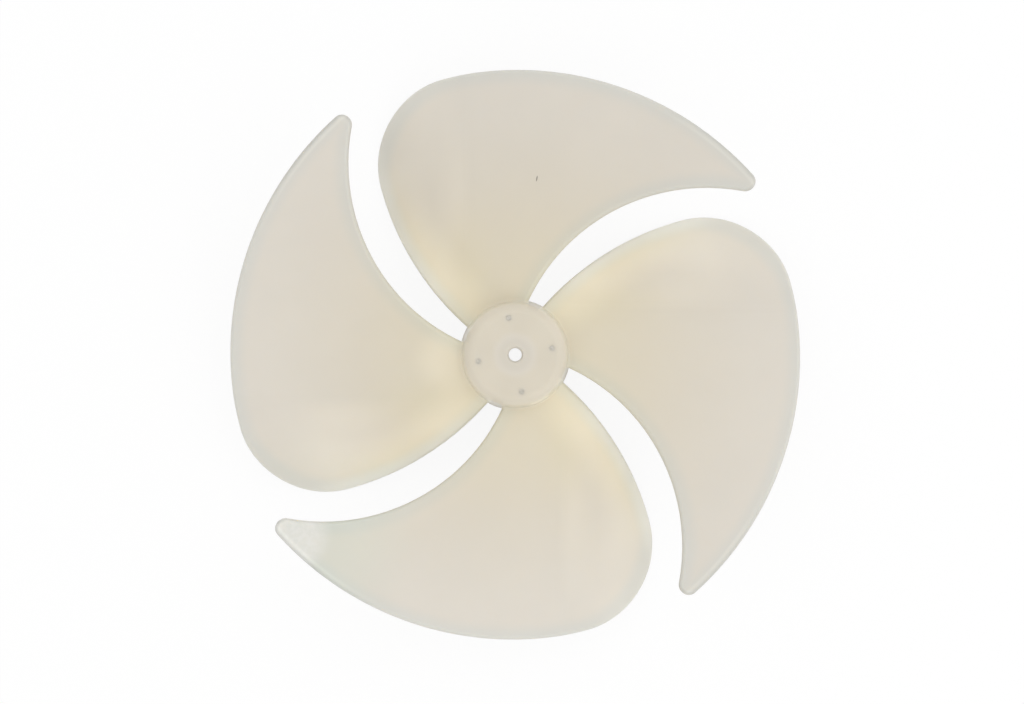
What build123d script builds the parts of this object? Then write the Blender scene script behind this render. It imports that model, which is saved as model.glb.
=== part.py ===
"""Condenser fan blade: one plastic moulding, four swept blades round a hub cup.

The part lies front face up. Z is the axis of the shaft bore, and the origin is on
that axis in the plane of the hub's rear rim. The first blade points along +Y with
its leading edge on the +X side. Lengths are in millimetres, angles in degrees.
"""
import os
from math import cos, hypot, radians, sin, tan

from build123d import *

# Hub cup, closed at the front and open towards the motor; diameter and wall are those at its rim
HUB_DIAMETER = 26.4
HUB_HEIGHT = 14.0
HUB_DRAFT = 5.0
HUB_FACE = 2.2
HUB_WALL = 2.2
HUB_EDGE_ROUND = 2.6
HUB_RIM_CHAMFER = 0.4

# Shaft boss in the middle of the cup, proud of the rim by its lead-in
BOSS_DIAMETER = 8.0
BORE_DIAMETER = 3.1
BORE_LEAD_IN = 0.4

# Ribs from the boss to the wall, set back from the rim
RIB_COUNT = 4
RIB_BEARING = -8.0
RIB_THICKNESS = 1.4
RIB_SETBACK = 3.0

# Gate marks in the front face
GATE_COUNT = 4
GATE_BEARING = 10.0
GATE_CIRCLE_DIAMETER = 17.4
GATE_MARK_DIAMETER = 1.2
GATE_MARK_DEPTH = 0.3

# Blade plan: each edge is an arc whose centre lies on the given bearing,
# placed by how far the arc passes from the axis
BLADE_COUNT = 4
LEADING_EDGE_RADIUS = 44.2
LEADING_EDGE_BEARING = -7.6
LEADING_EDGE_PASS = 0.5
TRAILING_EDGE_RADIUS = 69.5
TRAILING_EDGE_BEARING = 59.4
TRAILING_EDGE_PASS = 1.4
OUTER_EDGE_RADIUS = 74.0
OUTER_EDGE_BEARING = 77.0
OUTER_EDGE_PASS = 66.7
LOBE_RADIUS = 20.2
TIP_RADIUS = 2.25

# Blade section: three straight runs with a bend between each two
BLADE_LEVEL = 9.0
LEADING_PITCH = 15.5
MIDDLE_PITCH = 25.0
TRAILING_PITCH = 38.0
FRONT_BEND = 11.0
REAR_BEND = 23.0
FRONT_BEND_RADIUS = 15.0
REAR_BEND_RADIUS = 40.0
ROOT_THICKNESS = 2.2
THICKNESS_TAPER = 0.4

# Rounds on the blade's edges and where it meets the hub
FRONT_EDGE_ROUND = 0.8
REAR_EDGE_ROUND = 0.3
BLADE_ROOT_ROUND = 0.5

# Sizes that follow from those above
hub_radius = HUB_DIAMETER / 2
hub_front_radius = hub_radius - HUB_HEIGHT * tan(radians(HUB_DRAFT))
boss_radius = BOSS_DIAMETER / 2
bore_radius = BORE_DIAMETER / 2
cavity_radius = hub_radius - HUB_WALL
cavity_top = HUB_HEIGHT - HUB_FACE
blade_reach = OUTER_EDGE_PASS + OUTER_EDGE_RADIUS
front_bend_level = BLADE_LEVEL - FRONT_BEND * tan(radians(LEADING_PITCH))
rear_bend_level = front_bend_level - (REAR_BEND - FRONT_BEND) * tan(radians(MIDDLE_PITCH))
lead_level = BLADE_LEVEL + blade_reach * tan(radians(LEADING_PITCH))
trail_level = rear_bend_level - (blade_reach - REAR_BEND) * tan(radians(TRAILING_PITCH))
bottom = -2 * blade_reach
rear_plane = Plane.XZ.rotated((THICKNESS_TAPER, 0, 0))


def polar(radius, bearing):
    """Point at a distance from the axis, on a bearing measured from +X."""
    return (radius * cos(radians(bearing)), radius * sin(radians(bearing)))


def area_under(plane, drop):
    """Area below the blade's section line, the line lowered by drop, on a plane across the blade."""
    section_line = [
        (-blade_reach, trail_level - drop),
        (-REAR_BEND, rear_bend_level - drop),
        (-FRONT_BEND, front_bend_level - drop),
        (blade_reach, lead_level - drop),
    ]
    with BuildSketch(plane) as area:
        with BuildLine():
            line = FilletPolyline(section_line, radius=(REAR_BEND_RADIUS, FRONT_BEND_RADIUS))
            Polyline(line @ 1, (blade_reach, bottom - drop), (-blade_reach, bottom - drop), line @ 0)
        make_face()
    return area.sketch


def rim_edges(builder, facing):
    """Edges round the front (+1) or rear (-1) of a blade, without its hub end."""
    side = builder.faces().filter_by(lambda face: facing * face.normal_at().Z > 0.3)
    walls = builder.faces().filter_by(lambda face: abs(face.normal_at().Z) < 0.1)
    free_walls = walls.sort_by(lambda face: hypot(face.center().X, face.center().Y))[1:]
    return (side.edges() & free_walls.edges()).sort_by(SortBy.LENGTH)


# One blade: the section carried outwards and trimmed to the plan, its inner end in the boss
with BuildPart() as blade:
    extrude(area_under(Plane.XZ, 0), amount=-blade_reach)
    rear_area = area_under(rear_plane, ROOT_THICKNESS)
    extrude(rear_area, amount=2 * blade_reach, both=True, mode=Mode.SUBTRACT)
    with BuildSketch() as plan:
        with Locations(polar(OUTER_EDGE_PASS - OUTER_EDGE_RADIUS, OUTER_EDGE_BEARING)):
            Circle(OUTER_EDGE_RADIUS)
        with Locations(polar(TRAILING_EDGE_RADIUS - TRAILING_EDGE_PASS, TRAILING_EDGE_BEARING)):
            Circle(TRAILING_EDGE_RADIUS, mode=Mode.INTERSECT)
        with Locations(polar(LEADING_EDGE_RADIUS - LEADING_EDGE_PASS, LEADING_EDGE_BEARING)):
            Circle(LEADING_EDGE_RADIUS, mode=Mode.SUBTRACT)
        Circle(boss_radius, mode=Mode.SUBTRACT)
        outer_corners = plan.vertices().sort_by_distance((0, 0, 0))[-2:]
        fillet(outer_corners.sort_by(Axis.X)[0], LOBE_RADIUS)
        fillet(plan.vertices().sort_by(Axis.X)[-1], TIP_RADIUS)
    extrude(amount=2 * blade_reach, both=True, mode=Mode.INTERSECT)
    fillet(rim_edges(blade, 1), FRONT_EDGE_ROUND)
    fillet(rim_edges(blade, -1), REAR_EDGE_ROUND)

with BuildPart() as fan:
    # Solid hub with the blades joined to it
    Cone(hub_radius, hub_front_radius, HUB_HEIGHT, align=(Align.CENTER, Align.CENTER, Align.MIN))
    fillet(fan.edges().sort_by(Axis.Z)[-1], HUB_EDGE_ROUND)
    chamfer(fan.edges().sort_by(Axis.Z)[0], HUB_RIM_CHAMFER)
    with PolarLocations(0, BLADE_COUNT):
        add(blade.part)
    hub_skin = fan.faces().filter_by(GeomType.CONE).sort_by(SortBy.AREA)[-1]
    root_edges = hub_skin.edges().filter_by(GeomType.CIRCLE, reverse=True)
    fillet(root_edges.filter_by(GeomType.LINE, reverse=True), BLADE_ROOT_ROUND)

    # Hollow of the cup, then the boss and ribs inside it
    with BuildSketch():
        Circle(cavity_radius)
    extrude(amount=cavity_top, mode=Mode.SUBTRACT)
    with BuildSketch(Plane.XY.offset(-BORE_LEAD_IN)):
        Circle(boss_radius)
    extrude(amount=BORE_LEAD_IN + cavity_top)
    with BuildSketch(Plane.XY.offset(RIB_SETBACK)):
        with PolarLocations(cavity_radius / 2, RIB_COUNT, start_angle=RIB_BEARING):
            Rectangle(cavity_radius + HUB_WALL / 2, RIB_THICKNESS)
    extrude(amount=cavity_top - RIB_SETBACK)

    # Shaft bore through the boss and the face, and the gate marks
    Hole(bore_radius)
    bore_circles = fan.edges().filter_by(GeomType.CIRCLE).sort_by(SortBy.RADIUS)[:2]
    chamfer(bore_circles, BORE_LEAD_IN)
    with BuildSketch(Plane.XY.offset(HUB_HEIGHT)):
        with PolarLocations(GATE_CIRCLE_DIAMETER / 2, GATE_COUNT, start_angle=GATE_BEARING):
            Circle(GATE_MARK_DIAMETER / 2)
    extrude(amount=-GATE_MARK_DEPTH, mode=Mode.SUBTRACT)

fan.part.label = "fan_blade"
os.makedirs("parts", exist_ok=True)
export_step(fan.part, "parts/fan_blade.step")
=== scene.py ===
"""Looks of a moulded condenser fan blade: plastic finish, gate nubs and studio stage."""

import math

import bpy
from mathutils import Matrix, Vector


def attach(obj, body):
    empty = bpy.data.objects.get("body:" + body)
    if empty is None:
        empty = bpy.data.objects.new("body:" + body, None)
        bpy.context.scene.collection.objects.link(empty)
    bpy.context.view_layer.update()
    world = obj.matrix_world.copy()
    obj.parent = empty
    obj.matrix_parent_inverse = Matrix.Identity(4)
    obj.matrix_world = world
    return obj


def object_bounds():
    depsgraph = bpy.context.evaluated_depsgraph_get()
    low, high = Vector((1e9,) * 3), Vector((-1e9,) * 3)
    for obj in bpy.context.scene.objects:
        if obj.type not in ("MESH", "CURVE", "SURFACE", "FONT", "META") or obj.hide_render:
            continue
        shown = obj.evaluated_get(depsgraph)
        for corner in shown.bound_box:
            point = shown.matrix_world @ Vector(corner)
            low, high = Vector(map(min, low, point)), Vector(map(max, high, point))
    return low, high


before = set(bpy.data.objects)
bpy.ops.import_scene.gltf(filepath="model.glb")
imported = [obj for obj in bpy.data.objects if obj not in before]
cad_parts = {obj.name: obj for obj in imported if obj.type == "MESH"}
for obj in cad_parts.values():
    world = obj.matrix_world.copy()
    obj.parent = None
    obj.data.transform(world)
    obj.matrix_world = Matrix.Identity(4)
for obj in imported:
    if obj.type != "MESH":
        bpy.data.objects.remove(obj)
cad_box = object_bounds()

bl_info = {
    "name": "Condenser Fan Blade",
    "version": (1, 0, 0),
    "blender": (4, 5, 0),
    "location": "3D View > Sidebar > Fan Blade",
    "description": "Plastic finish, gate nubs and studio stage of a moulded condenser fan blade",
    "category": "Object",
}

MOULDING = "fan_blade"
BODY = "root"
MM = 0.001
TURN = 2 * math.pi
BLADE_COUNT = 4


# Settings that a user would change


def colour_setting(name, description, default):
    """Colour that the sidebar shows as a swatch."""
    return bpy.props.FloatVectorProperty(
        name=name,
        description=description,
        subtype="COLOR",
        size=4,
        min=0.0,
        max=1.0,
        default=(*default, 1.0),
    )


def length_setting(name, description, default):
    """Length in metres."""
    return bpy.props.FloatProperty(
        name=name, description=description, unit="LENGTH", default=default
    )


def strength_setting(name, description, default):
    """Strength of a light that comes from all round."""
    return bpy.props.FloatProperty(name=name, description=description, min=0.0, default=default)


def power_setting(name, description, default):
    """Power of a lamp in watts."""
    return bpy.props.FloatProperty(
        name=name, description=description, unit="POWER", default=default
    )


class PlasticSettings(bpy.types.PropertyGroup):
    """Colours, painted light and shade, and surface of the natural plastic."""

    cream: colour_setting("Cream", "Colour of the blades and the hub", (0.690, 0.635, 0.526))
    # Painted light: the trailing side is drawn paler
    pale: colour_setting("Pale", "Paler colour of the trailing side", (0.860, 0.805, 0.700))
    # Painted light: yellower light through the trailing side by the hub
    painted_amber_light: colour_setting("Amber", "Yellower trailing side by the hub", (0.728, 0.658, 0.465))
    # Painted light: a glow along the trailing edge near the hub
    glow: colour_setting("Glow", "Bright trailing edge near the hub", (0.900, 0.822, 0.648))
    milk: colour_setting("Milk", "Whiter colour towards the outer edges", (0.702, 0.663, 0.592))
    # Whiter colour of one blade tip, which is rougher there too
    tip_white: colour_setting("Frost", "Colour of the rubbed blade tip", (0.742, 0.735, 0.694))
    # Painted shade: grey tint on the blades' edges
    edge_shade: colour_setting("Rim", "Tint of the blades' edges", (0.930, 0.968, 1.000))
    # Painted light: paler thin trailing edge
    thin_edge_light: colour_setting("Thin Edge", "Pale trailing edge", (0.950, 0.940, 0.880))
    scuff: colour_setting("Scuff", "Colour of the scuff and the specks", (0.130, 0.100, 0.060))
    roughness: bpy.props.FloatProperty(
        name="Roughness",
        description="Mean roughness of the moulded surface",
        subtype="FACTOR",
        min=0.0,
        max=1.0,
        default=0.34,
    )
    glow_depth: length_setting("Glow Depth", "How far light travels in the plastic", 1.8 * MM)
    # Width of the painted shade on the edges and the painted light on the trailing edge
    edge_width: length_setting("Edge Width", "Width where the edges change colour", 4.5 * MM)


class NubSettings(bpy.types.PropertyGroup):
    """Sizes of the gate nubs on the hub's face."""

    count: bpy.props.IntProperty(
        name="Count", description="Number of gates round the hub", min=1, default=4
    )
    circle_radius: length_setting("Circle Radius", "Distance of the gates from the axis", 8.7 * MM)
    bearing: bpy.props.FloatProperty(
        name="Bearing",
        description="Bearing of the first gate",
        unit="ROTATION",
        default=math.radians(10),
    )
    radius: length_setting("Nub Radius", "Radius of the largest nub at its foot", 0.597 * MM)
    height: length_setting("Nub Height", "Height of a nub", 0.29 * MM)
    pit_radius: length_setting("Pit Radius", "Radius of the torn pit in a nub", 0.45 * MM)
    pit_depth: length_setting("Pit Depth", "Depth of that pit", 0.08 * MM)
    level: length_setting("Level", "Height of the nubs' feet in the gate marks", 13.69 * MM)


class StageSettings(bpy.types.PropertyGroup):
    """Camera, light and floor."""

    camera_height: length_setting("Camera Height", "Height above the blades' middle", 0.6)
    blade_level: length_setting("Blade Level", "Height of the blades' middle", 9.0 * MM)
    frame_width: length_setting("Frame Width", "Width of the picture at that level", 240.0 * MM)
    aim: bpy.props.FloatVectorProperty(
        name="Aim",
        description="Point under the middle of the picture",
        subtype="TRANSLATION",
        size=2,
        default=(-0.76 * MM, 0.64 * MM),
    )
    zenith: strength_setting("Zenith", "Strength of the even light from above", 1.02)
    horizon: strength_setting("Horizon", "Strength of the even light from the sides", 0.50)
    key_power: power_setting("Key Power", "Power of the soft key light", 1.5)
    fill_power: power_setting("Fill Power", "Power of each of the two fill lights", 0.8)
    glint_power: power_setting("Glint Power", "Power of the small lamp that edges glint in", 0.2)
    floor_size: length_setting("Floor Size", "Width of the floor", 4.0)


# Node helpers

# Sockets of a colour mix: its factor and its two colours, and its result
MIX_INPUTS = (0, 6, 7)
MIX_RESULT = 2


class Nodes:
    """A node tree with short calls for the nodes that the finishes need."""

    def __init__(self, tree):
        self.tree = tree

    def add(self, kind, settings=None, **inputs):
        """New node. Inputs are linked if they are sockets, else set."""
        node = self.tree.nodes.new(kind)
        for name, value in (settings or {}).items():
            setattr(node, name, value)
        for name, value in inputs.items():
            self.feed(node.inputs[name.replace("_", " ")], value)
        return node

    def feed(self, socket, value):
        """Links a socket to another, or sets its value."""
        if isinstance(value, bpy.types.NodeSocket):
            self.tree.links.new(value, socket)
        else:
            socket.default_value = value

    def math(self, operation, *values):
        """Result of one sum."""
        node = self.add("ShaderNodeMath", {"operation": operation})
        for socket, value in zip(node.inputs, values):
            self.feed(socket, value)
        return node.outputs[0]

    def product(self, first, *others):
        """Product of several values."""
        for other in others:
            first = self.math("MULTIPLY", first, other)
        return first

    def ramp(self, value, low, high, to_low=0.0, to_high=1.0):
        """Smooth step of a value between two limits."""
        smooth = {"interpolation_type": "SMOOTHSTEP"}
        limits = {"From Min": low, "From Max": high, "To Min": to_low, "To Max": to_high}
        return self.add("ShaderNodeMapRange", smooth, Value=value, **limits).outputs["Result"]

    def distance(self, point, centre):
        """Distance between two points."""
        node = self.add("ShaderNodeVectorMath", {"operation": "DISTANCE"})
        self.feed(node.inputs[0], point)
        self.feed(node.inputs[1], centre)
        return node.outputs["Value"]

    def near(self, point, centre, inner, outer):
        """One within the inner distance of a centre, nothing past the outer one."""
        return self.ramp(self.distance(point, centre), inner, outer, 1.0, 0.0)

    def band(self, value, start, peak, stop):
        """One at the peak of a value, nothing before its start or past its stop."""
        return self.product(self.ramp(value, start, peak), self.ramp(value, peak, stop, 1.0, 0.0))

    def noise(self, vector, scale, detail=2.0):
        """Noise between about 0 and 1."""
        return self.add("ShaderNodeTexNoise", Vector=vector, Scale=scale, Detail=detail).outputs[0]

    def blend(self, factor, first, second):
        """Mix of two colours."""
        return self.mixed("MIX", factor, first, second)

    def tint(self, factor, colour, tint):
        """Colour partly multiplied by a tint."""
        return self.mixed("MULTIPLY", factor, colour, tint)

    def mixed(self, kind, factor, first, second):
        """Two colours put together by one kind of mix."""
        node = self.add("ShaderNodeMix", {"data_type": "RGBA", "blend_type": kind})
        for place, value in zip(MIX_INPUTS, (factor, first, second)):
            self.feed(node.inputs[place], value)
        return node.outputs[MIX_RESULT]

    def shade(self, colour, factor):
        """Colour times a factor."""
        node = self.add("ShaderNodeVectorMath", {"operation": "SCALE"}, Scale=factor)
        self.feed(node.inputs[0], colour)
        return node.outputs[0]


def new_material(name):
    """Empty node material with its output node."""
    material = bpy.data.materials.new(name)
    material.use_nodes = True
    material.node_tree.nodes.clear()
    nodes = Nodes(material.node_tree)
    output = nodes.add("ShaderNodeOutputMaterial")
    return material, nodes, output


# Plastic finish, with painted light and shade

# The gap beside the first blade: its bearing at the axis, and how it turns back on the way out
GAP_BEARING = math.radians(76.6)
GAP_SWEEP = math.radians(0.66) / MM

# Places on the hub, on the first blade and on the one with the whiter tip
HUB_RADIUS = 12.4 * MM
BOSS_RADIUS = 4 * MM
RIB_GAP_BEARING = math.radians(37)
# Bearing of the painted glint on the hub's wall
PAINTED_GLINT_BEARING = math.radians(-61)
BEND_LINE = -11 * MM
LOBE_RADIUS = 20.2 * MM
TIP_PLACE = (52.7 * MM, 39.7 * MM, 0)
TIP_RADIUS = 2.25 * MM
PAST_TIP = (58.8 * MM, 35.6 * MM, 0)
WHITE_TIP_PLACE = (-51.5 * MM, -41.5 * MM, 20 * MM)
SCUFF_PLACE = (5.05 * MM, 41.2 * MM, 10.4 * MM)
SCUFF_HALF = (0.2 * MM, 0.85 * MM, 4.0 * MM)
SCUFF_LEAN = math.radians(-10)

# Patches of painted light and shade: centre, reach and how much paler or darker
LIGHT_AND_SHADE_PATCHES = (
    ((-30 * MM, 42 * MM, -3 * MM), 22 * MM, -0.07),
    ((-16 * MM, -1.5 * MM, 9 * MM), 10 * MM, 0.11),
    ((-40 * MM, -30 * MM, -3 * MM), 22 * MM, 0.07),
    ((40 * MM, 30 * MM, -3 * MM), 22 * MM, 0.045),
)
PATCH_HEART = 0.2

# Where each change starts and ends, then its share at either end if that isn't 0 and 1
MILK_BY_RADIUS = (26 * MM, 66 * MM)
PALE_BY_ACROSS = (-10 * MM, -34 * MM)
PALE_BY_MILK = (0.6, 1.0, 1.0, 0.55)
AMBER_BY_RADIUS = (HUB_RADIUS, 42 * MM, 1.0, 0.0)
AMBER_BY_ACROSS = (-3 * MM, -15 * MM, 0.4, 1.0)
GLOW_BY_EDGE = (1 * MM, 12 * MM, 1.0, 0.0)
GLOW_BY_ALONG = (27 * MM, 50 * MM, 1.0, 0.0)
GLOW_BY_RADIUS = (HUB_RADIUS, 26 * MM, 0.45, 1.0)
THIN_BY_RADIUS = (15 * MM, 30 * MM, 0.3, 1.0)
THIN_BY_OUTER = (6 * MM, 20 * MM)
# Painted shade lines along the outer edge and round the tip
DARK_BY_OUTER = (0.4 * MM, 1.0 * MM, 1.0, 0.0)
DARK_BY_TIP = (TIP_RADIUS - 1.0 * MM, TIP_RADIUS - 0.4 * MM)
MILKY_BOSS = (BOSS_RADIUS, 1.5 * BOSS_RADIUS, 0.55, 0.0)
# Painted shade over the boss, and painted light and shade following the ribs behind it
BOSS_SHADE = (0.7 * BOSS_RADIUS, 1.2 * BOSS_RADIUS, 0.95, 1.0)
RIB_GAP_LIGHT = (BOSS_RADIUS, 6 * MM, 0.0, 0.012)
# Spread of the painted glint round its bearing
PAINTED_GLINT_SPREAD = (math.radians(7), math.radians(15), 1.0, 0.0)
ROOT_BY_RADIUS = (HUB_RADIUS - 1 * MM, HUB_RADIUS + 1 * MM)
OFF_WALL_BY_EDGE = (-0.6 * MM, -0.1 * MM)
OFF_WALL_BY_RADIUS = (HUB_RADIUS + 1.6 * MM, HUB_RADIUS + 3.6 * MM)

# The same for changes that follow a noise or the cells of the specks
MOTTLE_BY_NOISE = (0.3, 0.7, 0.988, 1.010)
WHITE_BY_NOISE = (0.35, 0.65, 0.7, 1.0)
SPECK_BY_CELL = (0.68, 0.72)
SPECK_BY_DISTANCE = (0.05, 0.16, 0.22, 0.0)
SATIN_NOISE = (0.25, 0.75)

# How far round a place a change is full, and where it ends
HAZE_REACH = (10 * MM, 32 * MM)
WHITE_REACH = (5.5 * MM, 10 * MM)
TIP_REACH = (8 * MM, 34 * MM)
TIP_END_REACH = (5.2 * MM, 7.2 * MM)
SCUFF_REACH = (0.5, 1.0)

# Start, peak and stop of the strips and lines of painted light
STRIP_BY_ACROSS = (BEND_LINE + 1.5 * MM, BEND_LINE - 2.5 * MM, BEND_LINE - 9 * MM)
STRIP_BY_ALONG = (16 * MM, 38 * MM, 64 * MM)
BRIGHT_LINE = (0.8 * MM, 1.3 * MM, 1.9 * MM)
CORNER_BAND = (HUB_RADIUS - 1.8 * MM, HUB_RADIUS, HUB_RADIUS + 1.1 * MM)
PAINTED_GLINT_BAND = (HUB_RADIUS - 0.7 * MM, HUB_RADIUS - 0.2 * MM, HUB_RADIUS + 0.2 * MM)

# How much lighter or darker the strips and lines of painted light and shade are
STRIP_GAIN = 0.06
BRIGHT_GAIN = 0.07
DARK_LOSS = 0.13
CORNER_GAIN = 0.10
PAINTED_GLINT_GAIN = 0.28

# Whiter tip: tint round it, how strong the scuff is, and how much rougher the whiter plastic is
HAZE = (0.955, 1.0, 0.985, 1.0)
SCUFF_SHARE = 0.7
WHITE_TIP_ROUGHER = 0.15

# Painted shade and light on the edges, in shares of their width, and how pale the painted light
# makes the trailing one
RIM_START = 0.15
THIN_START = 0.1
THIN_STOP = 0.85
THIN_SHARE = 0.5

# Surface and light inside the plastic
MOTTLE_SCALE = 45.0
MOTTLE_DETAIL = 4.0
SPECKLE_SCALE = 900.0
SPECKLE_DETAIL = 3.0
SPECK_SCALE = 420.0
PEEL_SCALE = 700.0
PEEL_STRENGTH = 0.06
PEEL_DEPTH = 0.05 * MM
GRAIN_SCALE = 5200.0
GRAIN_SHARE = 0.25
SATIN_BELOW = 0.05
SATIN_ABOVE = 0.07
PLASTIC_IOR = 1.49
SCATTER_SHARE = 0.5
SCATTER_BY_COLOUR = (1.0, 0.93, 0.82)


def edge_arc(bearing, distance, radius):
    """Centre and radius of an arc that bounds the first blade, the centre on a bearing."""
    turn = math.radians(bearing)
    return (distance * math.cos(turn), distance * math.sin(turn), 0), radius


# Edges of the first blade, as the solid has them
LEADING_ARC = edge_arc(-7.6, 43.7 * MM, 44.2 * MM)
TRAILING_ARC = edge_arc(59.4, 68.1 * MM, 69.5 * MM)
OUTER_ARC = edge_arc(77, -7.3 * MM, 74 * MM)


class BladePlace:
    """Shader values for where a point lies: round the axis, and on the first blade after a turn."""

    def __init__(self, nodes, place):
        axes = nodes.add("ShaderNodeSeparateXYZ", Vector=place).outputs
        squares = [nodes.math("MULTIPLY", axes[name], axes[name]) for name in "XY"]
        self.radius = nodes.math("SQRT", nodes.math("ADD", *squares))
        self.bearing = nodes.math("ARCTAN2", axes["Y"], axes["X"])
        gap = nodes.math("MULTIPLY_ADD", self.radius, -GAP_SWEEP, GAP_BEARING)
        past_gap = nodes.math("SUBTRACT", self.bearing, gap)
        past_gap = nodes.math("FLOORED_MODULO", past_gap, TURN / BLADE_COUNT)
        turned = nodes.math("ADD", past_gap, gap)
        self.across = nodes.math("MULTIPLY", self.radius, nodes.math("COSINE", turned))
        self.along = nodes.math("MULTIPLY", self.radius, nodes.math("SINE", turned))
        self.flat = nodes.add("ShaderNodeCombineXYZ", X=self.across, Y=self.along).outputs[0]
        self.from_trailing = self.inside(nodes, TRAILING_ARC)
        self.from_outer = self.inside(nodes, OUTER_ARC)
        self.from_leading = nodes.math("MULTIPLY", self.inside(nodes, LEADING_ARC), -1.0)
        self.from_lobe = self.rounded(nodes, self.from_trailing, self.from_outer, LOBE_RADIUS)
        self.from_edge = nodes.math("MINIMUM", self.from_lobe, self.from_leading)

        # Nothing on the hub's wall in the gaps between the blades, one on the blades
        past_hub = nodes.ramp(self.radius, *OFF_WALL_BY_RADIUS)
        in_plan = nodes.ramp(self.from_edge, *OFF_WALL_BY_EDGE)
        self.off_wall = nodes.math("MAXIMUM", in_plan, past_hub)

    def inside(self, nodes, arc):
        """Distance inwards from one of the arcs that bound the first blade."""
        centre, radius = arc
        return nodes.math("SUBTRACT", radius, nodes.distance(self.flat, centre))

    def rounded(self, nodes, first, second, radius):
        """Distance inwards from two edges whose corner is rounded."""
        short = [nodes.math("SUBTRACT", radius, edge) for edge in (first, second)]
        short = [nodes.math("MAXIMUM", side, 0.0) for side in short]
        squares = [nodes.math("MULTIPLY", side, side) for side in short]
        return nodes.math("SUBTRACT", radius, nodes.math("SQRT", nodes.math("ADD", *squares)))


def blade_colour(nodes, settings, spot):
    """Cream, milky at the outer edge, with painted light that makes it paler behind the bend,
    yellower and brighter at the root and brighter in a strip.
    """
    outer = nodes.ramp(spot.radius, *MILK_BY_RADIUS)
    colour = nodes.blend(outer, tuple(settings.cream), tuple(settings.milk))
    # Painted light: the trailing side behind the bend is drawn paler
    behind = nodes.ramp(spot.across, *PALE_BY_ACROSS)
    behind = nodes.product(behind, nodes.ramp(outer, *PALE_BY_MILK))
    colour = nodes.blend(behind, colour, tuple(settings.pale))

    # Painted light that comes through the trailing side beside the hub, yellow at the root and
    # bright along the edge
    root = nodes.ramp(spot.radius, *AMBER_BY_RADIUS)
    trailing = nodes.ramp(spot.across, *AMBER_BY_ACROSS)
    colour = nodes.blend(nodes.product(root, trailing), colour, tuple(settings.painted_amber_light))
    edge = nodes.ramp(spot.from_trailing, *GLOW_BY_EDGE)
    inner = nodes.ramp(spot.along, *GLOW_BY_ALONG)
    past_root = nodes.ramp(spot.radius, *GLOW_BY_RADIUS)
    colour = nodes.blend(nodes.product(edge, inner, past_root), colour, tuple(settings.glow))

    # Painted highlight: a brighter strip behind the bend
    strip = nodes.band(spot.across, *STRIP_BY_ACROSS)
    strip = nodes.product(strip, nodes.band(spot.along, *STRIP_BY_ALONG))
    return nodes.shade(colour, nodes.math("MULTIPLY_ADD", strip, STRIP_GAIN, 1.0))


def clouded(nodes, place, colour):
    """Colour with the cloudy mottling of the melt, and patches of painted light and shade."""
    mottle_and_light = nodes.ramp(nodes.noise(place, MOTTLE_SCALE, MOTTLE_DETAIL), *MOTTLE_BY_NOISE)
    for centre, reach, change in LIGHT_AND_SHADE_PATCHES:
        patch = nodes.near(place, centre, PATCH_HEART * reach, reach)
        mottle_and_light = nodes.math("ADD", mottle_and_light, nodes.product(patch, change))
    return nodes.shade(colour, mottle_and_light)


def white_tip(nodes, settings, place, colour):
    """Colour with one tip hazy, whiter in a cloudy patch and speckled, and that patch's share at
    each point.
    """
    hazy = nodes.near(place, WHITE_TIP_PLACE, *HAZE_REACH)
    colour = nodes.tint(hazy, colour, HAZE)
    cloud = nodes.ramp(nodes.noise(place, SPECKLE_SCALE, SPECKLE_DETAIL), *WHITE_BY_NOISE)
    white_patch = nodes.product(nodes.near(place, WHITE_TIP_PLACE, *WHITE_REACH), cloud)
    colour = nodes.blend(white_patch, colour, tuple(settings.tip_white))
    cells = nodes.add("ShaderNodeTexVoronoi", Vector=place, Scale=SPECK_SCALE).outputs
    draw = nodes.add("ShaderNodeSeparateColor", Color=cells["Color"]).outputs[0]
    speck = nodes.ramp(cells["Distance"], *SPECK_BY_DISTANCE)
    speck = nodes.product(speck, nodes.ramp(draw, *SPECK_BY_CELL), white_patch)
    return nodes.blend(speck, colour, tuple(settings.scuff)), white_patch


def rim_colour(nodes, settings, spot, colour):
    """Colour with painted shade that greys the edges and painted light that pales the trailing
    edge.
    """
    width = settings.edge_width
    edge_shade = nodes.ramp(spot.from_edge, RIM_START * width, width, 1.0, 0.0)
    colour = nodes.tint(edge_shade, colour, tuple(settings.edge_shade))
    thin = nodes.ramp(spot.from_trailing, THIN_START * width, THIN_STOP * width, THIN_SHARE, 0.0)
    past_root = nodes.ramp(spot.radius, *THIN_BY_RADIUS)
    thin = nodes.product(thin, past_root, nodes.ramp(spot.from_outer, *THIN_BY_OUTER))
    return nodes.blend(thin, colour, tuple(settings.thin_edge_light))


def tip_lines(nodes, spot, colour):
    """Colour with a painted shade line along the outer edge and round the tip, and a painted
    highlight line inside it.
    """
    reach = nodes.near(spot.flat, TIP_PLACE, *TIP_REACH)
    dark = nodes.product(nodes.ramp(spot.from_outer, *DARK_BY_OUTER), reach)
    tip_end = nodes.near(spot.flat, PAST_TIP, *TIP_END_REACH)
    tip_ring = nodes.ramp(nodes.distance(spot.flat, TIP_PLACE), *DARK_BY_TIP)
    dark = nodes.math("MAXIMUM", dark, nodes.product(tip_ring, tip_end))
    bright = nodes.product(nodes.band(spot.from_outer, *BRIGHT_LINE), reach)
    lighter = nodes.product(bright, BRIGHT_GAIN)
    line = nodes.math("SUBTRACT", lighter, nodes.product(dark, DARK_LOSS))
    return nodes.shade(colour, nodes.math("ADD", line, 1.0))


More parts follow.
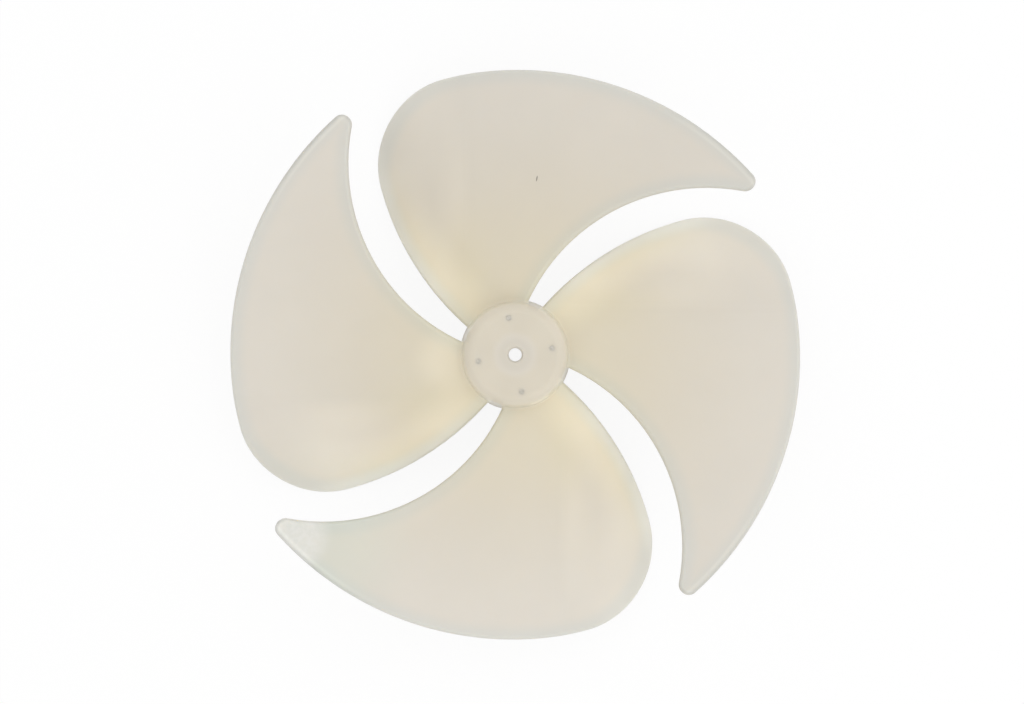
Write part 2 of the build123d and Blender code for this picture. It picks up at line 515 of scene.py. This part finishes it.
def hub_colour(nodes, settings, spot):
    """Cream face, milkier at the boss, greyer at the boss by painted shade, and a little paler
    between the ribs behind it by painted light.
    """
    milky = nodes.ramp(spot.radius, *MILKY_BOSS)
    colour = nodes.blend(milky, tuple(settings.cream), tuple(settings.milk))
    boss = nodes.ramp(spot.radius, *BOSS_SHADE)
    from_gap = nodes.math("SUBTRACT", spot.bearing, RIB_GAP_BEARING)
    wave = nodes.math("COSINE", nodes.math("MULTIPLY", from_gap, BLADE_COUNT))
    ring = nodes.ramp(spot.radius, *RIB_GAP_LIGHT)
    return nodes.shade(colour, nodes.math("MULTIPLY_ADD", wave, ring, boss))


def hub_corner(nodes, spot, colour):
    """Colour with painted light where the blades meet the hub, and a short painted glint line on
    its wall.
    """
    corner = nodes.product(nodes.band(spot.radius, *CORNER_BAND), spot.off_wall, CORNER_GAIN)
    aside = nodes.math("ABSOLUTE", nodes.math("SUBTRACT", spot.bearing, PAINTED_GLINT_BEARING))
    line = nodes.product(nodes.band(spot.radius, *PAINTED_GLINT_BAND), nodes.ramp(aside, *PAINTED_GLINT_SPREAD))
    gain = nodes.math("ADD", corner, nodes.product(line, PAINTED_GLINT_GAIN))
    return nodes.shade(colour, nodes.math("ADD", gain, 1.0))


def natural_plastic(settings):
    """Natural plastic with its colour, painted light and shade, wear, satin surface and glow."""
    material, nodes, output = new_material("natural_plastic_moulded")
    place = nodes.add("ShaderNodeTexCoord").outputs["Object"]
    spot = BladePlace(nodes, place)
    blade = rim_colour(nodes, settings, spot, blade_colour(nodes, settings, spot))
    blade, white_patch = white_tip(nodes, settings, place, clouded(nodes, place, blade))
    blade = tip_lines(nodes, spot, blade)
    on_blade = nodes.product(spot.off_wall, nodes.ramp(spot.radius, *ROOT_BY_RADIUS))
    colour = nodes.blend(on_blade, hub_colour(nodes, settings, spot), blade)
    colour = hub_corner(nodes, spot, colour)

    # Small dark scuff on the first blade
    lean = nodes.add(
        "ShaderNodeMapping",
        {"vector_type": "TEXTURE"},
        Vector=place,
        Location=SCUFF_PLACE,
        Rotation=(0, 0, SCUFF_LEAN),
        Scale=SCUFF_HALF,
    )
    scuff = nodes.near(lean.outputs[0], (0, 0, 0), *SCUFF_REACH)
    colour = nodes.blend(nodes.product(scuff, SCUFF_SHARE), colour, tuple(settings.scuff))

    # Satin surface with a faint orange peel
    peel = nodes.noise(place, PEEL_SCALE)
    grain = nodes.noise(place, GRAIN_SCALE)
    height = nodes.math("MULTIPLY_ADD", grain, GRAIN_SHARE, peel)
    bump = nodes.add("ShaderNodeBump", Strength=PEEL_STRENGTH, Distance=PEEL_DEPTH, Height=height)
    satin = nodes.ramp(
        nodes.noise(place, MOTTLE_SCALE),
        *SATIN_NOISE,
        settings.roughness - SATIN_BELOW,
        settings.roughness + SATIN_ABOVE,
    )
    shader = nodes.add(
        "ShaderNodeBsdfPrincipled",
        Base_Color=colour,
        Roughness=nodes.math("MULTIPLY_ADD", white_patch, WHITE_TIP_ROUGHER, satin),
        IOR=PLASTIC_IOR,
        Subsurface_Weight=SCATTER_SHARE,
        Subsurface_Radius=SCATTER_BY_COLOUR,
        Subsurface_Scale=settings.glow_depth,
        Normal=bump.outputs["Normal"],
    )
    nodes.feed(output.inputs["Surface"], shader.outputs["BSDF"])
    return material


class FAN_OT_finish_moulding(bpy.types.Operator):
    """Give the moulding its natural plastic finish, with painted light and shade"""

    bl_idname = "fan.finish_moulding"
    bl_label = "Finish Moulding"

    def execute(self, context):
        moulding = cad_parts[MOULDING]
        material = natural_plastic(context.scene.fan_plastic)
        for slot in moulding.material_slots:
            slot.material = material
        return {"FINISHED"}


# Gate nubs

NUB_SIDES = 20
NUB_SIDE_RINGS = 3
NUB_TOP_RINGS = 6
NUB_TAPER = 0.99
NUB_TOP_FROM = 0.9
NUB_TILT = math.radians(3)
NUB_LEAST = 0.985
NUB_SEED = 3

NUB_SIZES = (
    "Circle Radius",
    "Bearing",
    "Nub Radius",
    "Nub Height",
    "Pit Radius",
    "Pit Depth",
    "Level",
)


def nub_tree(material):
    """Short stubs on a circle with a pit in each, a little tilted and of their own sizes."""
    tree = bpy.data.node_groups.new("gate_nubs", "GeometryNodeTree")
    tree.interface.new_socket("Geometry", in_out="OUTPUT", socket_type="NodeSocketGeometry")
    tree.interface.new_socket("Count", in_out="INPUT", socket_type="NodeSocketInt")
    for name in NUB_SIZES:
        tree.interface.new_socket(name, in_out="INPUT", socket_type="NodeSocketFloat")
    nodes = Nodes(tree)
    sizes = nodes.add("NodeGroupInput").outputs
    circle = nodes.add(
        "GeometryNodeMeshCircle", Vertices=sizes["Count"], Radius=sizes["Circle Radius"]
    )
    turn = nodes.add("ShaderNodeCombineXYZ", Z=sizes["Bearing"]).outputs[0]
    lift = nodes.add("ShaderNodeCombineXYZ", Z=sizes["Level"]).outputs[0]
    placed = nodes.add(
        "GeometryNodeTransform", Geometry=circle.outputs["Mesh"], Translation=lift, Rotation=turn
    )
    nub = nodes.add(
        "GeometryNodeMeshCone",
        Vertices=NUB_SIDES,
        Side_Segments=NUB_SIDE_RINGS,
        Fill_Segments=NUB_TOP_RINGS,
        Radius_Top=nodes.math("MULTIPLY", sizes["Nub Radius"], NUB_TAPER),
        Radius_Bottom=sizes["Nub Radius"],
        Depth=sizes["Nub Height"],
    )
    position = nodes.add("GeometryNodeInputPosition").outputs[0]
    axes = nodes.add("ShaderNodeSeparateXYZ", Vector=position).outputs
    flat = nodes.add("ShaderNodeCombineXYZ", X=axes["X"], Y=axes["Y"]).outputs[0]
    out = nodes.math("DIVIDE", nodes.distance(flat, (0, 0, 0)), sizes["Pit Radius"])
    raised = nodes.math("MINIMUM", nodes.math("MULTIPLY", out, out), 1.0)
    drop = nodes.product(nodes.math("SUBTRACT", 1.0, raised), sizes["Pit Depth"], -1.0)
    top_level = nodes.math("MULTIPLY", sizes["Nub Height"], NUB_TOP_FROM)
    pitted = nodes.add(
        "GeometryNodeSetPosition",
        Geometry=nub.outputs["Mesh"],
        Selection=nodes.math("GREATER_THAN", axes["Z"], top_level),
        Offset=nodes.add("ShaderNodeCombineXYZ", Z=drop).outputs[0],
    )

    # Random tilts and sizes: inputs 0 and 1 limit a vector, 2 and 3 a number
    tilt = nodes.add("FunctionNodeRandomValue", {"data_type": "FLOAT_VECTOR"}, Seed=NUB_SEED)
    tilt.inputs[0].default_value = (-NUB_TILT, -NUB_TILT, 0)
    tilt.inputs[1].default_value = (NUB_TILT, NUB_TILT, TURN)
    size = nodes.add("FunctionNodeRandomValue", {"data_type": "FLOAT"}, Seed=NUB_SEED)
    size.inputs[2].default_value = NUB_LEAST
    size.inputs[3].default_value = 1.0
    stubs = nodes.add(
        "GeometryNodeInstanceOnPoints",
        Points=placed.outputs["Geometry"],
        Instance=pitted.outputs["Geometry"],
        Rotation=tilt.outputs[0],
        Scale=size.outputs[1],
    )
    real = nodes.add("GeometryNodeRealizeInstances", Geometry=stubs.outputs["Instances"])
    finished = nodes.add(
        "GeometryNodeSetMaterial", Geometry=real.outputs["Geometry"], Material=material
    )
    nodes.add("NodeGroupOutput", Geometry=finished.outputs["Geometry"])
    return tree


def made_by_tree(name, tree, sizes):
    """Plain mesh object that a tree makes from the given sizes."""
    carrier = bpy.data.objects.new(name + "_carrier", bpy.data.meshes.new(name + "_carrier"))
    bpy.context.scene.collection.objects.link(carrier)
    modifier = carrier.modifiers.new(name, "NODES")
    modifier.node_group = tree
    for socket in tree.interface.items_tree:
        if socket.in_out == "INPUT":
            modifier[socket.identifier] = sizes[socket.name]
    made = carrier.evaluated_get(bpy.context.evaluated_depsgraph_get())
    mesh = bpy.data.meshes.new_from_object(made)
    bpy.data.objects.remove(carrier)
    mesh.name = name
    piece = bpy.data.objects.new(name, mesh)
    bpy.context.scene.collection.objects.link(piece)
    return piece


class FAN_OT_add_gate_nubs(bpy.types.Operator):
    """Add the broken-off gate nubs in the marks on the hub's face"""

    bl_idname = "fan.add_gate_nubs"
    bl_label = "Add Gate Nubs"

    def execute(self, context):
        settings = context.scene.fan_nubs
        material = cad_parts[MOULDING].material_slots[0].material
        sizes = {
            "Count": settings.count,
            "Circle Radius": settings.circle_radius,
            "Bearing": settings.bearing,
            "Nub Radius": settings.radius,
            "Nub Height": settings.height,
            "Pit Radius": settings.pit_radius,
            "Pit Depth": settings.pit_depth,
            "Level": settings.level,
        }
        nubs = made_by_tree("gate_nubs", nub_tree(material), sizes)
        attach(nubs, BODY)
        return {"FINISHED"}


# Stage

WHITE = (1, 1, 1, 1)
FLOOR_PAINT = (0.95, 0.95, 0.95, 1)
FLOOR_GLOW = 0.9
KEY_PLACE = (0.70, 0.0, 0.68)
FILL_PLACE = (0.0, 0.70, 0.68)
GLINT_PLACE = (0.32, -0.55, 0.60)
SOFT_SIZE = 1.2
GLINT_SIZE = 0.12
CLIP_START = 0.01


def white_seen_directly(nodes, plain, white):
    """Plain light on the object, white where the camera, gloss or glass sees it."""
    path = nodes.add("ShaderNodeLightPath").outputs
    seen = nodes.math("MAXIMUM", path["Is Camera Ray"], path["Is Glossy Ray"])
    seen = nodes.math("MAXIMUM", seen, path["Is Transmission Ray"])
    mix = nodes.add("ShaderNodeMixShader")
    for socket, value in zip(mix.inputs, (seen, plain, white)):
        nodes.feed(socket, value)
    return mix.outputs[0]


def dome_light(scene, settings):
    """Soft light from all round, a little stronger from above, seen as white."""
    world = bpy.data.worlds.new("studio_dome")
    world.use_nodes = True
    world.node_tree.nodes.clear()
    nodes = Nodes(world.node_tree)
    direction = nodes.add("ShaderNodeTexCoord").outputs["Generated"]
    height = nodes.add("ShaderNodeSeparateXYZ", Vector=direction).outputs["Z"]
    strength = nodes.ramp(height, 0.0, 1.0, settings.horizon, settings.zenith)
    plain = nodes.add("ShaderNodeBackground", Color=WHITE, Strength=strength).outputs[0]
    white = nodes.add("ShaderNodeBackground", Color=WHITE, Strength=1.0).outputs[0]
    output = nodes.add("ShaderNodeOutputWorld")
    nodes.feed(output.inputs["Surface"], white_seen_directly(nodes, plain, white))
    scene.world = world


def pale_floor(size, level):
    """White floor under the part that keeps a soft shadow."""
    half = size / 2
    plan = ((-half, -half), (half, -half), (half, half), (-half, half))
    mesh = bpy.data.meshes.new("floor")
    mesh.from_pydata([(x, y, level) for x, y in plan], [], [(0, 1, 2, 3)])
    floor = bpy.data.objects.new("floor", mesh)
    material, nodes, output = new_material("pale_floor")
    paint = nodes.add("ShaderNodeBsdfDiffuse", Color=FLOOR_PAINT).outputs[0]
    white = nodes.add("ShaderNodeEmission", Color=WHITE, Strength=1.0).outputs[0]
    faint_shadow = nodes.add("ShaderNodeMixShader")
    for socket, value in zip(faint_shadow.inputs, (FLOOR_GLOW, paint, white)):
        nodes.feed(socket, value)
    surface = white_seen_directly(nodes, paint, faint_shadow.outputs[0])
    nodes.feed(output.inputs["Surface"], surface)
    mesh.materials.append(material)
    return floor


def lamps(settings):
    """Square area lamps, all turned to the middle of the blades."""
    x, y, z = FILL_PLACE
    layout = (
        ("key", settings.key_power, SOFT_SIZE, KEY_PLACE),
        ("upper_fill", settings.fill_power, SOFT_SIZE, (x, y, z)),
        ("lower_fill", settings.fill_power, SOFT_SIZE, (x, -y, z)),
        ("glint", settings.glint_power, GLINT_SIZE, GLINT_PLACE),
    )
    target = Vector((0, 0, settings.blade_level))
    made = []
    for name, power, size, place in layout:
        data = bpy.data.lights.new(name, "AREA")
        data.energy = power
        data.size = size
        lamp = bpy.data.objects.new(name, data)
        lamp.location = place
        lamp.rotation_euler = (target - lamp.location).to_track_quat("-Z", "Y").to_euler()
        made.append(lamp)
    return made


def photo_camera(settings):
    """Camera straight above the hub, with the photograph's framing."""
    data = bpy.data.cameras.new("camera")
    data.lens = data.sensor_width * settings.camera_height / settings.frame_width
    data.clip_start = CLIP_START
    camera = bpy.data.objects.new("camera", data)
    camera.location = (*settings.aim, settings.blade_level + settings.camera_height)
    return camera


class FAN_OT_set_stage(bpy.types.Operator):
    """Set up the floor, the light and the camera"""

    bl_idname = "fan.set_stage"
    bl_label = "Set Stage"

    def execute(self, context):
        scene = context.scene
        settings = scene.fan_stage
        dome_light(scene, settings)
        floor = pale_floor(settings.floor_size, cad_box[0].z)
        camera = photo_camera(settings)
        for item in (floor, camera, *lamps(settings)):
            scene.collection.objects.link(item)
        scene.camera = camera
        scene.view_settings.view_transform = "Standard"
        return {"FINISHED"}


# Sidebar


class FAN_PT_sidebar(bpy.types.Panel):
    """Steps that dress the fan blade"""

    bl_idname = "FAN_PT_sidebar"
    bl_label = "Fan Blade"
    bl_space_type = "VIEW_3D"
    bl_region_type = "UI"
    bl_category = "Fan Blade"

    def draw(self, context):
        for step in STEPS:
            self.layout.operator(step.bl_idname)


STEPS = (FAN_OT_finish_moulding, FAN_OT_add_gate_nubs, FAN_OT_set_stage)
CLASSES = (PlasticSettings, NubSettings, StageSettings, *STEPS, FAN_PT_sidebar)


def register():
    for item in CLASSES:
        bpy.utils.register_class(item)
    bpy.types.Scene.fan_plastic = bpy.props.PointerProperty(type=PlasticSettings)
    bpy.types.Scene.fan_nubs = bpy.props.PointerProperty(type=NubSettings)
    bpy.types.Scene.fan_stage = bpy.props.PointerProperty(type=StageSettings)


def unregister():
    del bpy.types.Scene.fan_stage
    del bpy.types.Scene.fan_nubs
    del bpy.types.Scene.fan_plastic
    for item in reversed(CLASSES):
        bpy.utils.unregister_class(item)


def main():
    register()
    bpy.ops.fan.finish_moulding()
    bpy.ops.fan.add_gate_nubs()
    bpy.ops.fan.set_stage()


if __name__ == "__main__":
    main()
